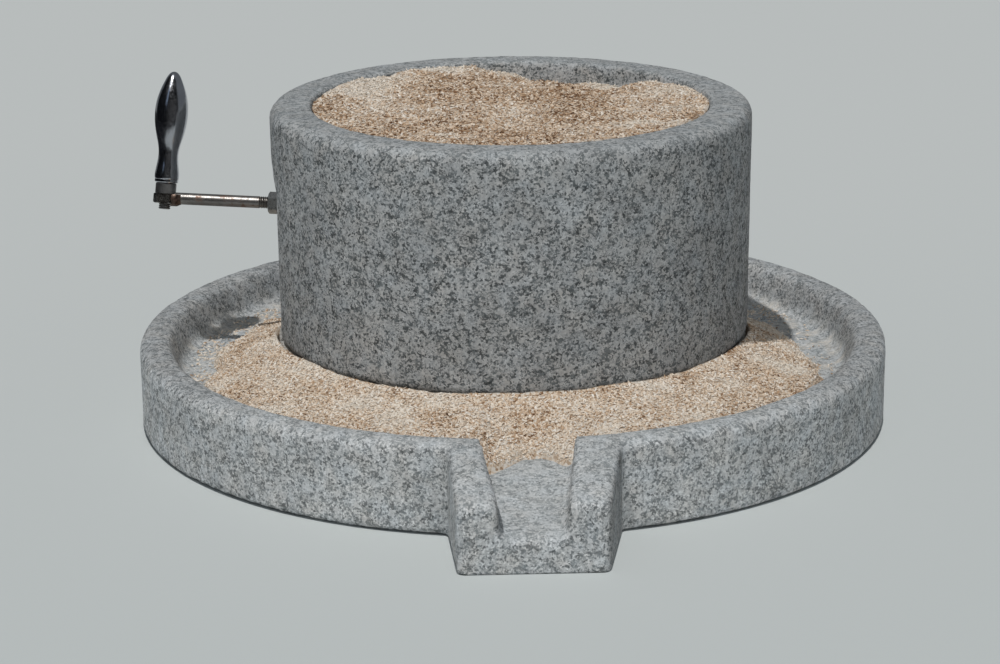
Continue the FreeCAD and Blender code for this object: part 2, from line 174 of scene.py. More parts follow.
def fine_stone(node, voxel, wear, seed):
    """A fine, even mesh of a CAD stone, laid back onto its faces, then weathered: edges chipped, faces wavy
    and pitted. An edge is found by how far smoothing pulls it in."""
    source = NODES[node]
    shell = bpy.data.meshes.new(node + "_shell")
    bm = bmesh.new()
    bm.from_mesh(source.data)
    bmesh.ops.remove_doubles(bm, verts=bm.verts, dist=1e-6)
    bmesh.ops.triangulate(bm, faces=bm.faces)
    tree = BVHTree.FromBMesh(bm)
    bm.to_mesh(shell)
    bm.free()
    blank = bpy.data.objects.new(node + "_blank", shell)
    bpy.context.scene.collection.objects.link(blank)
    remesh = blank.modifiers.new("even", "REMESH")
    remesh.mode = "VOXEL"
    remesh.voxel_size = voxel
    graph = bpy.context.evaluated_depsgraph_get()
    mesh = bpy.data.meshes.new_from_object(blank.evaluated_get(graph))
    bpy.data.objects.remove(blank)
    co = vertex_array(mesh)
    co = np.array([tree.find_nearest(Vector(p))[0][:] for p in co])
    mesh.vertices.foreach_set("co", co.astype(np.float32).ravel())
    mesh.update()
    normals = normal_array(mesh)
    edges = np.empty(len(mesh.edges) * 2, np.int32)
    mesh.edges.foreach_get("vertices", edges)
    a, b = edges.reshape(-1, 2).T
    count = np.bincount(np.concatenate([a, b]), minlength=len(co))[:, None]
    soft = co.copy()
    for _ in range(SMOOTHING_ROUNDS):
        total = np.zeros_like(soft)
        np.add.at(total, a, soft[b])
        np.add.at(total, b, soft[a])
        soft = total / count
    sharp = np.clip(np.einsum("ij,ij->i", co - soft, normals), 0, DEEPEST_CHIP)
    sharp *= smoothstep(0, SHELTERED_FOOT, co[:, 2] - co[:, 2].min()) * 0.7 + 0.3
    chip = smoothstep(-0.1, 0.7, noise(co, CHIP_SIZE, seed)) * 0.7 + 0.3
    depth = sharp * chip * wear
    depth += WAVE_DEPTH * rough(co, WAVE_SIZE, 2, seed + 5) + GRAIN_DEPTH * noise(co, GRAIN_SIZE, seed + 9)
    depth += PIT_DEPTH * smoothstep(0.62, 0.9, noise(co, PIT_SIZE, seed + 13))
    co -= normals * depth[:, None]
    mesh.vertices.foreach_set("co", co.astype(np.float32).ravel())
    mesh.update()
    mesh.shade_smooth()
    mesh.materials.clear()
    piece = bpy.data.objects.new(node + "_hewn", mesh)
    bpy.context.scene.collection.objects.link(piece)
    return piece, co, normals


# ---- node materials --------------------------------------------------------------------------------------
class Nodes:
    """Builds one node material, on object coordinates in metres."""

    def __init__(self, name):
        self.material = bpy.data.materials.new(name)
        self.material.use_nodes = True
        self.tree = self.material.node_tree
        self.tree.nodes.clear()
        self.output = self.add("ShaderNodeOutputMaterial")
        self.shader = self.add("ShaderNodeBsdfPrincipled")
        self.tree.links.new(self.shader.outputs[0], self.output.inputs[0])
        self.place = self.add("ShaderNodeTexCoord").outputs["Object"]

    def add(self, kind, **settings):
        node = self.tree.nodes.new(kind)
        for key, value in settings.items():
            setattr(node, key, value)
        return node

    def feed(self, socket, value):
        if isinstance(value, bpy.types.NodeSocket):
            self.tree.links.new(value, socket)
        elif isinstance(value, tuple) and len(value) == 3 and socket.type == "RGBA":
            socket.default_value = (*value, 1.0)
        else:
            socket.default_value = value

    def set(self, name, value):
        self.feed(self.shader.inputs[name], value)

    def math(self, operation, a, b=0.0, c=0.0, clamp=False):
        node = self.add("ShaderNodeMath", operation=operation, use_clamp=clamp)
        for socket, value in zip(node.inputs, (a, b, c)):
            self.feed(socket, value)
        return node.outputs[0]

    def mix(self, factor, a, b, blend="MIX"):
        node = self.add("ShaderNodeMix", data_type="RGBA", blend_type=blend)
        self.feed(node.inputs[0], factor)
        self.feed(node.inputs[6], a)
        self.feed(node.inputs[7], b)
        return node.outputs[2]

    def step(self, value, low, high, to_low=0.0, to_high=1.0):
        node = self.add("ShaderNodeMapRange", interpolation_type="SMOOTHSTEP")
        for socket, v in zip(node.inputs, (value, low, high, to_low, to_high)):
            self.feed(socket, v)
        return node.outputs[0]

    def noise(self, scale, detail=2.0, roughness=0.5, place=None):
        node = self.add("ShaderNodeTexNoise")
        self.feed(node.inputs["Vector"], place or self.place)
        self.feed(node.inputs["Scale"], scale)
        self.feed(node.inputs["Detail"], detail)
        self.feed(node.inputs["Roughness"], roughness)
        return node.outputs

    def cells(self, scale, place=None):
        node = self.add("ShaderNodeTexVoronoi")
        self.feed(node.inputs["Vector"], place or self.place)
        self.feed(node.inputs["Scale"], scale)
        return node.outputs

    def first(self, colour):
        """The red part of a colour, as an even random number for each grain."""
        node = self.add("ShaderNodeSeparateColor")
        self.feed(node.inputs[0], colour)
        return node.outputs[0]

    def shaken(self, scale, amount):
        """Coordinates pushed about by noise, so that grain edges aren't straight."""
        away = self.add("ShaderNodeVectorMath", operation="MULTIPLY_ADD")
        self.feed(away.inputs[0], self.noise(scale, 1.0)["Color"])
        away.inputs[1].default_value = (amount,) * 3
        self.feed(away.inputs[2], self.place)
        return away.outputs[0]

    def ramp(self, value, stops):
        node = self.add("ShaderNodeValToRGB")
        self.feed(node.inputs[0], value)
        ramp = node.color_ramp
        while len(ramp.elements) < len(stops):
            ramp.elements.new(0.5)
        for element, (at, colour) in zip(ramp.elements, stops):
            element.position = at
            element.color = (*colour, 1.0)
        return node.outputs[0]

    def attribute(self, name):
        return self.add("ShaderNodeAttribute", attribute_name=name).outputs["Fac"]

    def bump(self, height, distance, strength=1.0):
        node = self.add("ShaderNodeBump")
        self.feed(node.inputs["Height"], height)
        node.inputs["Distance"].default_value = distance
        node.inputs["Strength"].default_value = strength
        self.set("Normal", node.outputs[0])


def grey(value, blue=0.0):
    """A granite grey, a little towards blue."""
    return (value * (1 - blue), value, value * (1 + blue * 0.4))


# how many of each feature there are along a metre of granite
COARSE_GRAINS, FINE_GRAINS, DARK_GRAINS = 740.0, 1400.0, 380.0
CROWDS, CLEARINGS, GROUND_GRAINS = 150.0, 230.0, 560.0
SEAMS, CASTS, CLOUDS, POWDER_GRAINS = 60.0, 75.0, 26.0, 260.0
# painted shade: the near-black that darkens faces where the painted_shade attribute is set
PAINTED_SHADE_TONE = (0.02, 0.02, 0.02)


def granite(name, shade, contrast, dusty):
    """Fine-grained granite: a pale grey ground with crisp dark flecks that gather in clouds, paler clear
    patches, thin light seams and a faint blue and brown cast. It reads three attributes: dust, flour, and
    painted_shade, which darkens it with painted shade."""
    n = Nodes(name)

    def tone(value, blue):
        return grey(value * shade, blue)

    place = n.shaken(1100.0, 0.0008)
    coarse = n.cells(COARSE_GRAINS, place)
    fine = n.cells(FINE_GRAINS, place)
    crowd = n.noise(CROWDS, 3.0, 0.6)["Fac"]
    clear = n.step(n.noise(CLEARINGS, 1.5, 0.5)["Fac"], 0.55, 0.64)
    threshold = n.step(crowd, 0.34, 0.66, 0.12, 0.50)
    threshold = n.math("MULTIPLY", threshold, n.math("SUBTRACT", 1.0, n.math("MULTIPLY", clear, 0.80)))
    fleck = n.step(n.math("SUBTRACT", threshold, n.first(coarse["Color"])), -0.02, 0.03)
    speck = n.step(n.math("SUBTRACT", threshold, n.first(fine["Color"])), -0.02, 0.04)
    ground = n.ramp(
        n.noise(GROUND_GRAINS, 3.0, 0.65)["Fac"],
        [(0.30, tone(0.260, 0.04)), (0.50, tone(0.430, 0.03)), (0.70, tone(0.640, 0.02))],
    )
    ground = n.mix(n.math("MULTIPLY", clear, 0.45), ground, tone(0.480, 0.01))
    dark = n.ramp(
        n.first(n.cells(DARK_GRAINS)["Color"]),
        [(0.1, tone(0.042, 0.16)), (0.9, tone(0.165, 0.12))],
    )
    mineral = n.mix(n.math("MULTIPLY", speck, 0.64 * contrast), ground, dark)
    mineral = n.mix(n.math("MULTIPLY", fleck, 0.86 * contrast), mineral, dark)
    seam = n.math("ABSOLUTE", n.math("SUBTRACT", n.noise(SEAMS, 4.0, 0.55)["Fac"], 0.5))
    mineral = n.mix(n.step(seam, 0.010, 0.0, 0.0, 0.25), mineral, tone(0.560, 0.01))
    cast = n.ramp(
        n.noise(CASTS, 2.0)["Fac"],
        [(0.30, (0.975, 1.00, 1.025)), (0.50, (1.0, 1.0, 1.0)), (0.70, (1.025, 1.0, 0.975))],
    )
    mineral = n.mix(1.0, mineral, cast, "MULTIPLY")
    cloud = n.ramp(n.noise(CLOUDS, 4.0, 0.6)["Fac"], [(0.30, grey(0.85)), (0.70, grey(1.13))])
    mineral = n.mix(1.0, mineral, cloud, "MULTIPLY")
    # painted shade: darkened towards near-black by the painted_shade attribute
    mineral = n.mix(n.math("MULTIPLY", n.attribute("painted_shade"), 0.24), mineral, PAINTED_SHADE_TONE)
    powder = n.noise(POWDER_GRAINS, 3.0, 0.6)["Fac"]
    dust = n.math("MULTIPLY", n.attribute("dust"), n.step(powder, 0.30, 0.72, 0.55, 1.0), clamp=True)
    flour = n.math("MULTIPLY", n.attribute("flour"), n.step(powder, 0.36, 0.60, 0.25, 1.0), clamp=True)
    n.set("Base Color", n.mix(flour, n.mix(dust, mineral, dusty), FLOUR))
    n.set("Roughness", n.step(crowd, 0.3, 0.7, 0.64, 0.86))
    n.set("Specular IOR Level", 0.35)
    relief = n.math("ADD", n.math("MULTIPLY", fleck, -0.35), n.noise(620.0, 3.0, 0.6)["Fac"])
    n.bump(relief, 0.00045, 0.8)
    return n.material


# ---- stones ----------------------------------------------------------------------------------------------
STONE_DUST = (0.500, 0.540, 0.555)
MEAL_DUST = (0.60, 0.55, 0.48)
FLOUR = (0.690, 0.645, 0.580)
tray_granite = granite("tray_granite_grained", 1.27, 0.82, STONE_DUST)
runner_granite = granite("runner_granite_grained", 0.88, 1.0, STONE_DUST)
bed_granite = granite("bed_granite_grained", 0.95, 1.0, MEAL_DUST)


def channel_at(y):
    """Height of the channel's floor and half its width at y."""
    (root_y, root_z, root_half), (tip_y, tip_z, tip_half) = CHANNEL
    t = np.clip((y - root_y) / (tip_y - root_y), 0, 1)
    return root_z + (tip_z - root_z) * t, root_half + (tip_half - root_half) * t


SEAT_RIM = 0.155
SPOUT_FROM = -0.205
SPOUT_BEYOND_TRAY = -0.248


def tray_finish(co, normals):
    """The tray's film of dust, its flour beyond the meal, and painted shade on its rim top, inner wall and
    right side.
    """
    x, y, z = co.T
    r = np.hypot(x, y)
    up = smoothstep(0.35, 0.95, normals[:, 2])
    front = smoothstep(0.45, 0.95, -y / np.maximum(r, MM))
    film = (0.10 + 0.22 * front) * up
    floor = smoothstep(TROUGH_FLOOR + 9 * MM, TROUGH_FLOOR + 1 * MM, z) * (r < RIM_INNER) * (r > SEAT_RIM)
    streak = smoothstep(-0.20, 0.40, rough(co * (1, 1, 0.3), 11 * MM, 3, 41))
    half = channel_at(y)[1]
    channel = smoothstep(half + 1 * MM, half - 2 * MM, np.abs(x)) * (y < -0.2) * up
    # painted shade: the rim's top away from the front, the inner wall and the right-facing faces are
    # darkened, the spout's right face most
    rim = up * (z > RIM_TOP - 6 * MM) * (1 - front)
    inward = -(x * normals[:, 0] + y * normals[:, 1]) / np.maximum(r, MM)
    inner = smoothstep(0.25, 0.80, inward) * (r > RIM_INNER - 12 * MM) * (1 - floor) * 0.85
    right = smoothstep(0.45, 0.95, normals[:, 0]) * (inward < 0) * np.where(y < SPOUT_BEYOND_TRAY, 1.7, 0.5)
    return {
        "dust": np.maximum(np.maximum(film, 0.30 * floor), 0.40 * channel),
        "flour": floor * streak * 0.70 * (y > SPOUT_FROM),
        "painted_shade": np.maximum(np.maximum(rim, inner), right),
    }


def runner_finish(co, normals):
    """The runner's film of dust, pale rubbed patches, and painted shade on its right side."""
    up = smoothstep(0.25, 0.95, normals[:, 2])
    rubbed = smoothstep(0.30, 0.75, rough(co, 34 * MM, 2, 47)) * 0.12
    # painted shade: the right-facing side is darkened
    side = smoothstep(0.45, 0.95, normals[:, 0]) * 0.85
    return {"dust": 0.30 * up + rubbed, "flour": np.zeros(len(co)), "painted_shade": side}


def hewn_stone(node, voxel, wear, seed, material, finish):
    """A worn stone with its material and its finish."""
    stone, co, normals = fine_stone(node, voxel, wear, seed)
    for key, values in finish(co, normals).items():
        put_attribute(stone.data, key, values)
    stone.data.materials.append(material)
    return stone


tray = hewn_stone("tray", 2.3 * MM, 0.9, 3, tray_granite, tray_finish)
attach(tray, "base")
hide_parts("tray")

runner = hewn_stone("runner_stone", 2.2 * MM, 0.7, 17, runner_granite, runner_finish)
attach(runner, "runner")
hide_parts("runner_stone")


# ---- heaps -----------------------------------------------------------------------------------------------
def keyed(angles, keys, column):
    """A value round the mill, read between keys (azimuth, values...) that are in order of azimuth."""
    at = np.array([k[0] for k in keys], float)
    value = np.array([k[column] for k in keys], float)
    at = np.concatenate([at[-1:] - 360, at, at[:1] + 360])
    value = np.concatenate([value[-1:], value, value[:1]])
    return np.interp(angles % 360, at, value)


# azimuth in degrees, height in mm at which the grain meets the hopper's wall
HOPPER_EDGE = [
    (18, 209.0), (30, 207.5), (40, 205.5), (48, 196.5), (56, 198.5), (62, 198.5), (69, 196.0), (76, 194.5),
    (82, 198.0), (88, 203.5), (94, 206.0), (101, 208.8), (114, 210.0), (121, 210.5), (128, 208.4),
    (136, 209.0), (146, 211.0), (158, 209.5), (180, 209.0), (225, 209.6), (270, 210.2), (315, 210.0),
    (350, 209.5),
]  # fmt: skip
GRAIN_LEVEL = 207.0 * MM


def grain_height(x, y):
    """Top of the grain in the hopper, in metres."""
    r = np.hypot(x, y)
    azimuth = np.degrees(np.arctan2(y, x)) % 360
    edge = keyed(azimuth, HOPPER_EDGE, 1) * MM
    flat = np.stack([x, y, np.zeros_like(x)], axis=-1)
    middle = GRAIN_LEVEL + 3.2 * MM * noise(flat, 62 * MM, 61) + 2.2 * MM * noise(flat, 27 * MM, 62)
    blend = smoothstep(0.070, 0.127, r)
    top = middle * (1 - blend) + edge * blend
    return top + 0.9 * MM * noise(flat, 11 * MM, 63) + 0.45 * MM * noise(flat, 4.5 * MM, 64)


# azimuth, and in mm: height against the runner, height at the outer limit, radius of that limit, run-out
MEAL = sorted([
    (42, 35, 34, 170, 5), (30, 38, 35, 188, 5), (20, 42, 35.5, 192, 6), (12, 47, 36, 194, 7),
    (4, 52, 36, 198, 8), (356, 56, 36, 202, 9), (348, 59, 37, 208, 10), (340, 60, 39, 215, 11),
    (328, 60.5, 44, 230, 12), (310, 60.5, 47, 232, 12), (290, 61, 48, 232, 12), (279.5, 61, 38, 231, 7),
    (276.5, 61, 35, 222, 6), (272.4, 61, 35, 206, 6), (269.3, 60.5, 35, 208, 6), (266.4, 60, 35, 221, 6),
    (264.5, 60, 36, 229, 6), (262, 60, 45, 232, 8), (250, 59, 48, 232, 12), (235, 59, 47, 232, 12),
    (215, 60, 43, 232, 12), (203, 59.5, 39, 228, 12), (195, 59, 36.5, 214, 10), (187, 58, 38, 200, 6),
    (180, 56, 40, 203, 4), (173, 53, 41, 194, 3), (165, 49, 41, 190, 3), (157, 46, 41, 186, 3),
    (150, 42, 38, 180, 3), (143, 37, 35, 170, 4),
])  # fmt: skip
MEAL_INNER = RUNNER_R + 0.6 * MM
MEAL_OUTER = 0.2325
MEAL_START, MEAL_END = 138.0, 407.0
# the crack through the caked meal on the left: azimuth and radius in mm
CRACK = [(147, 177), (154, 184), (162, 186.5), (168, 188), (174, 191.5), (178, 199), (182, 208), (185, 214)]
CRACK_DEPTH = 5.5 * MM


def meal_height(azimuth, r):
    """Top of the meal in the trough, in metres. Below the floor where there is none."""
    inner, outer, limit, fade = (keyed(azimuth, MEAL, column) * MM for column in (1, 2, 3, 4))
    x, y = r * np.cos(np.radians(azimuth)), r * np.sin(np.radians(azimuth))
    flat = np.stack([x, y, np.zeros_like(x)], axis=-1)
    limit = limit + fade * 0.5 * rough(flat, 16 * MM, 3, 71)
    run = np.clip((r - MEAL_INNER) / (limit - MEAL_INNER), 0, 1)
    top = inner + (outer - inner) * run**0.85
    top = top + 0.8 * MM * noise(flat, 17 * MM, 72) + 0.4 * MM * noise(flat, 5 * MM, 73)
    in_channel = (y < -0.2) & (np.abs(x) < 0.034)
    bare = np.where(in_channel, channel_at(y)[0], TROUGH_FLOOR) - 1.2 * MM
    top = top - (top - bare) * smoothstep(limit - fade, limit + 0.5 * MM, r)
    at = np.array([k[0] for k in CRACK], float)
    along = np.interp(azimuth % 360, at, [k[1] * MM for k in CRACK])
    wander = 1.3 * MM * rough(flat, 9 * MM, 3, 74)
    width = (0.9 + 0.5 * noise(flat, 12 * MM, 75)) * MM
    inside = (azimuth % 360 > at[0]) & (azimuth % 360 < at[-1])
    gap = 1 - smoothstep(width * 0.6, width * 1.5, np.abs(r - along - wander))
    return np.where(inside, top - CRACK_DEPTH * gap, top)


def polar_sheet(height, radii, angles, floor, closed):
    """A heap's top over a polar grid, closed below by a flat underside."""
    a, r = np.meshgrid(angles, radii, indexing="ij")
    x, y = r * np.cos(np.radians(a)), r * np.sin(np.radians(a))
    z = height(a.ravel(), r.ravel()).reshape(a.shape)
    top = np.stack([x, y, z], axis=-1).reshape(-1, 3)
    under = top.copy()
    under[:, 2] = np.minimum(floor, top[:, 2] - 0.3 * MM)
    rows, columns = a.shape
    index = np.arange(rows * columns).reshape(rows, columns)
    drop = rows * columns

    def wall(near, next_near):
        """Upright faces between a line of the top's corners and the same corners of the underside."""
        return np.stack([near, next_near, next_near + drop, near + drop], axis=1)

    i = np.arange(rows if closed else rows - 1)
    j = (i + 1) % rows
    k = np.arange(columns - 1)
    quads = [np.stack([index[i, c], index[i, c + 1], index[j, c + 1], index[j, c]], axis=1) for c in k]
    quads = np.concatenate(quads)
    sides = [wall(index[i, 0], index[j, 0]), wall(index[i, -1], index[j, -1])[:, ::-1]]
    if not closed:
        sides += [wall(index[0, k], index[0, k + 1])[:, ::-1], wall(index[-1, k], index[-1, k + 1])]
    return np.concatenate([top, under]), np.concatenate([quads, quads[:, ::-1] + drop, *sides])


FLAKE_CORNERS = 6


def flakes(rng, centres, normals, length, width):
    """A closed six-cornered flake at each centre, lying roughly along the surface."""
    n = len(centres)
    long = length[0] + (length[1] - length[0]) * rng.random(n) ** 1.6
    wide = width[0] + (width[1] - width[0]) * rng.random(n)
    wide = np.minimum(wide, long * 0.8)
    thick = wide * rng.uniform(0.30, 0.62, n)
    up = normals + rng.normal(0, 0.42, (n, 3))
    up /= np.linalg.norm(up, axis=1)[:, None]
    side = np.cross(up, rng.normal(0, 1, (n, 3)))
    side /= np.linalg.norm(side, axis=1)[:, None]
    across = np.cross(up, side)
    points = [(1, 0, 0), (0, 1, 0), (-1, 0, 0), (0, -1, 0), (0, 0, 1), (0, 0, -1)]
    corners = []
    for (dx, dy, dz), shift in zip(points, rng.uniform(-0.35, 0.35, (FLAKE_CORNERS, 2, n))):
        u = (dx + shift[0] * (dx == 0)) * long / 2
        v = (dy + shift[1] * (dy == 0)) * wide / 2
        w = dz * thick / 2
        corners.append(centres + side * u[:, None] + across * v[:, None] + up * np.reshape(w, (-1, 1)))
    verts = np.stack(corners, axis=1).reshape(-1, 3)
    over = [(0, 1, 4), (1, 2, 4), (2, 3, 4), (3, 0, 4)]
    below = [(1, 0, 5), (2, 1, 5), (3, 2, 5), (0, 3, 5)]
    faces = np.array(over + below)[None] + FLAKE_CORNERS * np.arange(n)[:, None, None]
    return verts, faces.reshape(-1, 3)


def slope_normals(height, x, y):
    """Upward normals of a height field given over x and y."""
    e = 0.8 * MM
    dx = (height(x + e, y) - height(x - e, y)) / (2 * e)
    dy = (height(x, y + e) - height(x, y - e)) / (2 * e)
    normals = np.stack([-dx, -dy, np.ones_like(dx)], axis=1)
    return normals / np.linalg.norm(normals, axis=1)[:, None]


def meal_over(x, y):
    return meal_height(np.degrees(np.arctan2(y, x)) % 360, np.hypot(x, y))


# painted shade: a heap's colour is darkened to stand for the shadows in the gaps between its flakes
PAINTED_SHADE_BETWEEN_FLAKES = (0.80, 0.80, 0.80)


def meal_material(name, heap):
    """Coarse meal: white flour, cream and tan flakes and brown bran. A heap has its own grains and painted
    shade for the gaps between flakes, and loose flakes carry their shade in an attribute."""
    n = Nodes(name)
    patch = n.attribute("patch")
    if heap:
        grain = n.first(n.cells(620.0, n.shaken(500.0, 0.0010))["Color"])
    else:
        grain = n.attribute("shade")
    fine = n.noise(1500.0, 2.0)["Fac"]
    tone = n.math("ADD", grain, n.math("MULTIPLY", n.math("SUBTRACT", fine, 0.5), 0.25))
    tone = n.math("ADD", tone, patch)
    floury = n.step(patch, 0.06, 0.30, 0.0, 0.62)
    colour = n.ramp(
        tone,
        [
            (0.00, (0.200, 0.105, 0.052)),
            (0.14, (0.380, 0.235, 0.132)),
            (0.32, (0.590, 0.430, 0.295)),
            (0.54, (0.740, 0.605, 0.470)),
            (0.78, (0.830, 0.735, 0.620)),
            (0.98, (0.880, 0.830, 0.760)),
        ],
    )
    colour = n.mix(floury, colour, (0.790, 0.725, 0.635))
    n.set("Base Color", n.mix(1.0, colour, PAINTED_SHADE_BETWEEN_FLAKES, "MULTIPLY") if heap else colour)
    n.set("Roughness", n.step(fine, 0.2, 0.8, 0.72, 0.95))
    n.set("Specular IOR Level", 0.25)
    n.bump(n.noise(900.0, 3.0, 0.6)["Fac"], 0.0006 if heap else 0.0002, 0.8)
    return n.material


meal_bed = meal_material("meal_bed", True)
meal_flake = meal_material("meal_flake", False)


def grain_patch(x, y):
    """Lighter or darker areas of the grain, as a shift in tone: a pale area on the left, a brown one behind,
    and paler to the right and against the back of the hopper."""
    flat = np.stack([x * 0.7, y * 1.3, np.zeros_like(x)], axis=-1)
    pale = np.exp(-(((x + 0.085) / 0.036) ** 2 + ((y - 0.020) / 0.070) ** 2))
    brown = np.exp(-(((x - 0.045) / 0.050) ** 2 + ((y - 0.045) / 0.035) ** 2))
    r = np.hypot(x, y)
    right = smoothstep(0.020, 0.090, x)
    back = smoothstep(0.082, 0.122, r) * smoothstep(0.0, 0.5, y / np.maximum(r, MM))
    back = back * (0.7 + 0.6 * rough(flat, 17 * MM, 2, 82))
    mottle = 0.28 * rough(flat, 30 * MM, 3, 81)
    return mottle - 0.04 + 0.09 * pale - 0.08 * brown + 0.12 * right + 0.36 * back


def meal_patch(x, y):
    """Lighter or darker areas of the meal, as a shift in tone."""
    flat = np.stack([x, y, np.zeros_like(x)], axis=-1)
    return 0.30 * rough(flat, 26 * MM, 3, 83) + 0.07


def hopper_top(azimuth, r):
    x, y = r * np.cos(np.radians(azimuth)), r * np.sin(np.radians(azimuth))
    return grain_height(x, y)


# radii of the grain: its top's edge, the last ring before it, its foot, and the flakes on it
GRAIN_R, GRAIN_SHOULDER_R, GRAIN_FOOT_R, GRAIN_FLAKES_R = 0.1306, 0.1296, 0.1215, 0.1292


def grain_heap():
    """The grain as one closed heap, drawn in below to clear the hopper's rounded corner."""
    radii = np.concatenate([np.linspace(0.5 * MM, 0.128, 92), [GRAIN_SHOULDER_R, GRAIN_R]])
    verts, faces = polar_sheet(hopper_top, radii, np.arange(0, 360, 1.0), HOPPER_FLOOR - 0.4 * MM, True)
    under = len(verts) // 2
    lower = verts[under:]
    squeeze = np.minimum(1, GRAIN_FOOT_R / np.maximum(np.hypot(lower[:, 0], lower[:, 1]), 1e-6))
    lower[:, :2] *= squeeze[:, None]
    heap = new_piece("hopper_grain", verts, faces, meal_bed, patch=grain_patch(verts[:, 0], verts[:, 1]))
    bm = bmesh.new()
    bm.from_mesh(heap.data)
    bm.verts.ensure_lookup_table()
    innermost = np.arange(360) * len(radii)
    for start in (0, under):
        bmesh.ops.contextual_create(bm, geom=[bm.verts[start + c] for c in innermost])
    bmesh.ops.recalc_face_normals(bm, faces=bm.faces)
    bm.to_mesh(heap.data)
    bm.free()
    return heap


def scattered(name, x, y, z, height, patch_at, length, width, mean, spread):
    """A piece of flakes at the given points, each with its own shade, lying along a height field."""
    centres = np.stack([x, y, z], axis=1)
    verts, faces = flakes(rng, centres, slope_normals(height, x, y), length, width)
    shade = np.repeat(np.clip(rng.normal(mean, spread, len(x)), 0, 1), FLAKE_CORNERS)
    patch = np.repeat(patch_at(x, y), FLAKE_CORNERS)
    return new_piece(name, verts, faces, meal_flake, False, patch=patch, shade=shade)


FLAKES_PER_PIECE = 18000
GRAIN_FLAKE = ((1.6 * MM, 4.6 * MM), (1.0 * MM, 2.2 * MM), 0.50, 0.28)
MEAL_FLAKE = ((1.4 * MM, 4.2 * MM), (0.9 * MM, 2.0 * MM), 0.58, 0.26)


def hopper_places():
    """Places for flakes, evenly over the grain."""
    r = GRAIN_FLAKES_R * np.sqrt(rng.random(FLAKES_PER_PIECE))
    a = rng.random(FLAKES_PER_PIECE) * 2 * math.pi
    x, y = r * np.cos(a), r * np.sin(a)
    return x, y, grain_height(x, y) + rng.uniform(-0.2, 0.9, len(x)) * MM


def trough_top(r):
    """The tray's own surface under the meal: flat floor, then the wall."""
    wall = TROUGH_FLOOR + (RIM_TOP - TROUGH_FLOOR) * (r - TROUGH_R) / (RIM_INNER - TROUGH_R)
    corner = smoothstep(TROUGH_R - 7 * MM, TROUGH_R + 1 * MM, r) * 3.2 * MM
    return np.maximum(TROUGH_FLOOR + corner, wall)


def meal_places(low, high):
    """Places for flakes between two azimuths: all over the meal, and in sparse patches on the bare floor
    beyond it, more of them behind than in front, and none in the bare channel or on the wall."""
    azimuth = rng.uniform(low, high, FLAKES_PER_PIECE * 3)
    radius = np.sqrt(rng.uniform(MEAL_INNER**2, RIM_INNER**2, FLAKES_PER_PIECE * 3))
    on_meal = meal_height(azimuth, radius)
    base = trough_top(radius)
    depth = on_meal - base
    beyond = smoothstep(-1.4 * MM, 0.2 * MM, depth)
    x, y = radius * np.cos(np.radians(azimuth)), radius * np.sin(np.radians(azimuth))
    patches = smoothstep(-0.2, 0.5, rough(np.stack([x, y, 0 * x], axis=-1), 14 * MM, 2, 91))
    sparse = np.where(np.abs(azimuth - 15) % 360 < 180, 0.22, 0.05) * patches
    sparse = np.where((azimuth > 176) & (azimuth < 200), 0.26 * patches + 0.05, sparse)
    sparse = np.where(radius > TROUGH_R - 5 * MM, 0.0, sparse)
    in_channel = (np.abs(x) < 0.03) & (radius > 0.206) & (azimuth > 260) & (azimuth < 285)
    chance = np.where(depth > 0.2 * MM, 1.0, np.maximum(beyond * 0.7, sparse))
    chance = np.where(in_channel & (depth < 0.4 * MM), 0.0, chance)
    chosen = np.flatnonzero(rng.random(len(x)) < chance)[:FLAKES_PER_PIECE]
    x, y = x[chosen], y[chosen]
    z = np.maximum(on_meal, base)[chosen] + rng.uniform(-0.2, 0.8, len(x)) * MM
    clear = np.hypot(x, y) > MEAL_INNER + 1.2 * MM
    return x[clear], y[clear], z[clear]


grain = grain_heap()
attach(grain, "runner")

rng = np.random.default_rng(2024)
grain_flakes = scattered("hopper_flakes", *hopper_places(), grain_height, grain_patch, *GRAIN_FLAKE)
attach(grain_flakes, "runner")

radii = np.linspace(MEAL_INNER, MEAL_OUTER, 64)
angles = np.arange(MEAL_START, MEAL_END, 0.5)
verts, faces = polar_sheet(meal_height, radii, angles, TROUGH_FLOOR - 5.0 * MM, False)
meal = new_piece("tray_meal", verts, faces, meal_bed, patch=meal_patch(verts[:, 0], verts[:, 1]))
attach(meal, "base")

SPOUT_AZIMUTH = 262.0
for label, low, high in (("left", MEAL_START, SPOUT_AZIMUTH), ("right", SPOUT_AZIMUTH, MEAL_END)):
    scatter = scattered(f"meal_flakes_{label}", *meal_places(low, high), meal_over, meal_patch, *MEAL_FLAKE)
    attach(scatter, "base")


# ---- metals and small parts ------------------------------------------------------------------------------
def metal(name, colour, dark, roughness, stain=None, stain_at=0.6, scale=160.0):
    """Worn metal: mottled shade and roughness, fine marks, and brown stain in patches."""
    n = Nodes(name)
    mottle = n.noise(scale, 4.0, 0.6)["Fac"]
    marks = n.noise(scale * 9, 3.0, 0.7)["Fac"]
    base = n.mix(n.step(mottle, 0.35, 0.68), dark, colour)
    if stain:
        spots = n.noise(scale * 0.8, 4.0, 0.65)["Fac"]
        ragged = n.math("MULTIPLY", n.math("SUBTRACT", marks, 0.5), 0.2)
        amount = n.step(n.math("ADD", spots, ragged), stain_at, stain_at + 0.12)
        base = n.mix(amount, base, stain)
        n.set("Metallic", n.math("SUBTRACT", 1.0, n.math("MULTIPLY", amount, 0.7)))
    else:
        n.set("Metallic", 1.0)
    n.set("Base Color", base)
    n.set("Roughness", n.step(marks, 0.3, 0.7, max(roughness - 0.06, 0.03), roughness + 0.10))
    n.bump(n.math("ADD", marks, n.math("MULTIPLY", mottle, 0.5)), 0.00005, 0.5)
    return n.material


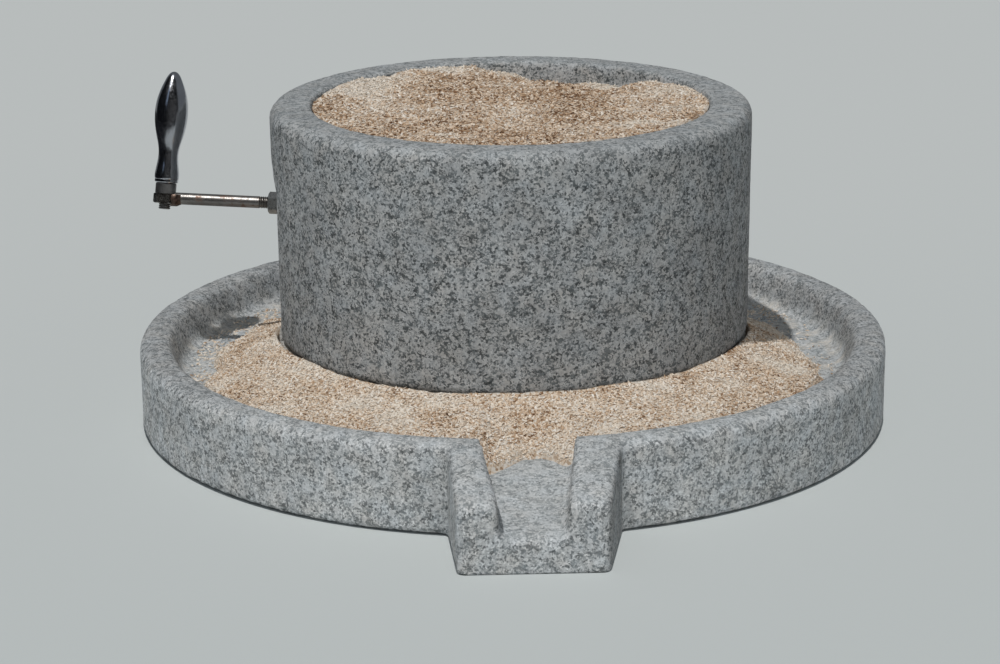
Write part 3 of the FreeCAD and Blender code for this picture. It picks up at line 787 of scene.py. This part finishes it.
def powdery(name, colour, dark, roughness, scale=300.0):
    """Mortar, resin or plastic: a mottled matte surface."""
    n = Nodes(name)
    mottle = n.noise(scale, 4.0, 0.6)["Fac"]
    n.set("Base Color", n.mix(n.step(mottle, 0.3, 0.7), dark, colour))
    n.set("Roughness", n.step(mottle, 0.3, 0.7, roughness - 0.08, roughness + 0.08))
    n.bump(n.noise(scale * 3, 3.0)["Fac"], 0.0002, 0.6)
    return n.material


RUST = (0.105, 0.050, 0.028)
BROWN_STAIN = (0.15, 0.088, 0.062)
BURNT = (0.075, 0.038, 0.025)
FINISHES = {
    "bedding_mortar": powdery("mortar_sandy", (0.66, 0.63, 0.57), (0.50, 0.47, 0.42), 0.88),
    "bed_stone": bed_granite,
    "pivot_pin": metal("pin_turned", (0.46, 0.46, 0.47), (0.30, 0.30, 0.30), 0.24, RUST, 0.66),
    "pin_lead": metal("lead_dull", (0.34, 0.35, 0.38), (0.22, 0.23, 0.25), 0.55),
    "thrust_washer": metal("bronze_oiled", (0.62, 0.44, 0.22), (0.38, 0.25, 0.12), 0.30),
    "runner_bush": metal("iron_cast", (0.20, 0.20, 0.20), (0.11, 0.11, 0.11), 0.50, RUST, 0.58),
    "bush_lead": metal("lead_dull_upper", (0.34, 0.35, 0.38), (0.22, 0.23, 0.25), 0.55),
    "arm_anchor": metal("anchor_zinc", (0.50, 0.50, 0.51), (0.36, 0.36, 0.37), 0.38),
    "anchor_resin": powdery("resin_filled", (0.42, 0.40, 0.37), (0.30, 0.29, 0.27), 0.70),
    "arm_lock_nut": metal("lock_nut_dull", (0.46, 0.46, 0.45), (0.28, 0.28, 0.27), 0.30, RUST, 0.70),
    "crank_arm": metal("arm_drawn", (0.30, 0.287, 0.272), (0.20, 0.19, 0.18), 0.38, BROWN_STAIN, 0.54, 110.0),
    "eye_nut": metal("eye_nut_worn", (0.42, 0.41, 0.38), (0.12, 0.11, 0.10), 0.24, RUST, 0.64),
    "eye_weld": metal("weld_burnt", (0.17, 0.125, 0.10), (0.05, 0.035, 0.03), 0.45, BURNT, 0.50, 400.0),
    "handle_spindle": metal("spindle_turned", (0.33, 0.33, 0.33), (0.22, 0.22, 0.22), 0.42, RUST, 0.68),
    "grip_circlip": metal("clip_oiled", (0.25, 0.25, 0.26), (0.14, 0.14, 0.15), 0.35),
    "grip_shell": metal("grip_polished", (0.48, 0.49, 0.52), (0.42, 0.43, 0.46), 0.16, scale=90.0),
    "grip_ferrule": metal("ferrule_polished", (0.56, 0.57, 0.60), (0.46, 0.47, 0.50), 0.10),
    "grip_liner": powdery("liner_acetal", (0.74, 0.73, 0.69), (0.66, 0.65, 0.61), 0.50),
}
for node, material in FINISHES.items():
    for slot in NODES[node].material_slots:
        slot.material = material
BED_DUST = 0.45
bed_mesh = NODES["bed_stone"].data
put_attribute(bed_mesh, "dust", np.full(len(bed_mesh.vertices), BED_DUST))

# ---- floor, light and camera -----------------------------------------------------------------------------
def floor_material():
    """A pale floor with painted shade: a little darker towards -Y, with a slow drift in shade."""
    n = Nodes("floor_pale")
    split = n.add("ShaderNodeSeparateXYZ")
    n.feed(split.inputs[0], n.place)
    drift = n.math("MULTIPLY_ADD", n.noise(1.1, 2.0)["Fac"], 0.5, split.outputs[1])
    n.set("Base Color", n.mix(n.step(drift, -1.1, 1.2), FLOOR_NEAR, FLOOR_FAR))
    n.set("Roughness", 0.75)
    n.set("Specular IOR Level", 0.2)
    return n.material


def rectangle(name, low, high, material):
    """A level or upright rectangle between two opposite corners."""
    flat = [axis for axis in range(3) if low[axis] == high[axis]][0]
    i, j = (axis for axis in range(3) if axis != flat)
    corners = np.array([low] * 4, float)
    corners[1:3, i] = high[i]
    corners[2:4, j] = high[j]
    return new_piece(name, corners, np.array([[0, 1, 2, 3]]), material, False)


FLOOR_REACH = 9.0
floor = rectangle("floor", (-FLOOR_REACH, -FLOOR_REACH, 0), (FLOOR_REACH, FLOOR_REACH, 0), floor_material())


def card(name, low, high, colour, strength=0.0):
    """A flat screen seen only in reflections, a painted reflection that glows where a strength is given."""
    n = Nodes(name + "_sheen")
    n.set("Base Color", n.mix(n.noise(3.0, 1.0)["Fac"], colour, tuple(c * 0.8 for c in colour)))
    n.set("Roughness", 0.9)
    n.set("Specular IOR Level", 0.0)
    n.set("Emission Color", colour)
    n.set("Emission Strength", strength)
    screen = rectangle(name, low, high, n.material)
    screen.visible_camera = screen.visible_diffuse = screen.visible_shadow = False
    screen.visible_transmission = screen.visible_volume_scatter = False


# the reach of the dark screens, and the height that keeps the level ones off the floor
NEAR, FAR, BACK, TALL, WIDE = -0.95, -3.0, 2.5, 7.0, 4.0
BESIDE_TRAY = -0.62
OFF_FLOOR = 0.002
DARK = (0.020, 0.021, 0.025)
SKY_BLUE = (0.6, 0.75, 1.0)
# painted reflections: the dark screens darken what the metals reflect, and the glowing strip paints a bluish
# highlight streak on the grip
card("dark_ground", (-WIDE, FAR, OFF_FLOOR), (WIDE, NEAR, OFF_FLOOR), DARK)
card("dark_front", (-WIDE, FAR, 0), (WIDE, FAR, TALL), DARK)
card("dark_left", (-WIDE, FAR, 0), (-WIDE, BACK, TALL), DARK)
card("dark_side", (-WIDE, NEAR, OFF_FLOOR), (BESIDE_TRAY, BACK, OFF_FLOOR), DARK)
card("painted_highlight_strip", (-3.1, -2.9, 2.2), (-2.2, -2.9, 6.5), SKY_BLUE, 0.30)

world = bpy.data.worlds.new("daylight")
world.use_nodes = True
background = world.node_tree.nodes["Background"]
background.inputs["Color"].default_value = (*SKY, 1.0)
background.inputs["Strength"].default_value = 1.0
bpy.context.scene.world = world
bpy.context.scene.view_settings.view_transform = "Standard"
bpy.context.scene.view_settings.look = "None"


def only_lights(lamp, objects, state):
    """Limits a lamp to the objects (INCLUDE), or to everything else (EXCLUDE)."""
    reach = bpy.data.collections.new(lamp.name + "_reach")
    for thing in objects:
        reach.objects.link(thing)
    for member in reach.collection_objects:
        member.light_linking.link_state = state
    lamp.light_linking.receiver_collection = reach


def sun(name, travel, strength, angle):
    """A distant light that travels along a vector and has an angular size in degrees."""
    light = bpy.data.lights.new(name, "SUN")
    light.energy = strength
    light.angle = math.radians(angle)
    light.color = SUNLIGHT
    lamp = bpy.data.objects.new(name, light)
    lamp.rotation_euler = Vector(travel).to_track_quat("-Z", "Y").to_euler()
    lamp.location = -2.0 * Vector(travel)
    bpy.context.scene.collection.objects.link(lamp)
    return lamp


only_lights(sun("sun", SUN_TRAVEL, SUN_STRENGTH, SUN_ANGLE), [floor], "EXCLUDE")
only_lights(sun("fill", FILL_TRAVEL, FILL_STRENGTH, FILL_ANGLE), [floor], "EXCLUDE")
only_lights(sun("floor_light", (0, 0, -1), FLOOR_LIGHT, FLOOR_LIGHT_ANGLE), [floor], "INCLUDE")


def camera_matrix():
    """The camera's place on its ring round the mill, then its small yaw, pitch and roll."""
    elevation, azimuth = math.radians(CAMERA_ELEVATION), math.radians(CAMERA_AZIMUTH)
    yaw, pitch, roll = (math.radians(v) for v in (CAMERA_YAW, CAMERA_PITCH, CAMERA_ROLL))
    place = Vector((0, -CAMERA_DISTANCE * math.cos(elevation), CAMERA_DISTANCE * math.sin(elevation)))
    ahead = -place.normalized()
    right = Vector((1, 0, 0))
    up = right.cross(ahead)
    ahead = (
        ahead * math.cos(yaw) * math.cos(pitch)
        + right * math.sin(yaw) * math.cos(pitch)
        + up * math.sin(pitch)
    )
    right = ahead.cross(up).normalized()
    up = right.cross(ahead)
    right, up = right * math.cos(roll) + up * math.sin(roll), up * math.cos(roll) - right * math.sin(roll)
    turn = Matrix((right, up, -ahead)).transposed().to_4x4()
    turn.translation = place
    return Matrix.Rotation(azimuth, 4, "Z") @ turn


lens = bpy.data.cameras.new("camera")
lens.sensor_width = 36.0
lens.lens = CAMERA_LENS
lens.clip_end = 50.0
camera = bpy.data.objects.new("camera", lens)
camera.matrix_world = camera_matrix()
bpy.context.scene.collection.objects.link(camera)
bpy.context.scene.camera = camera
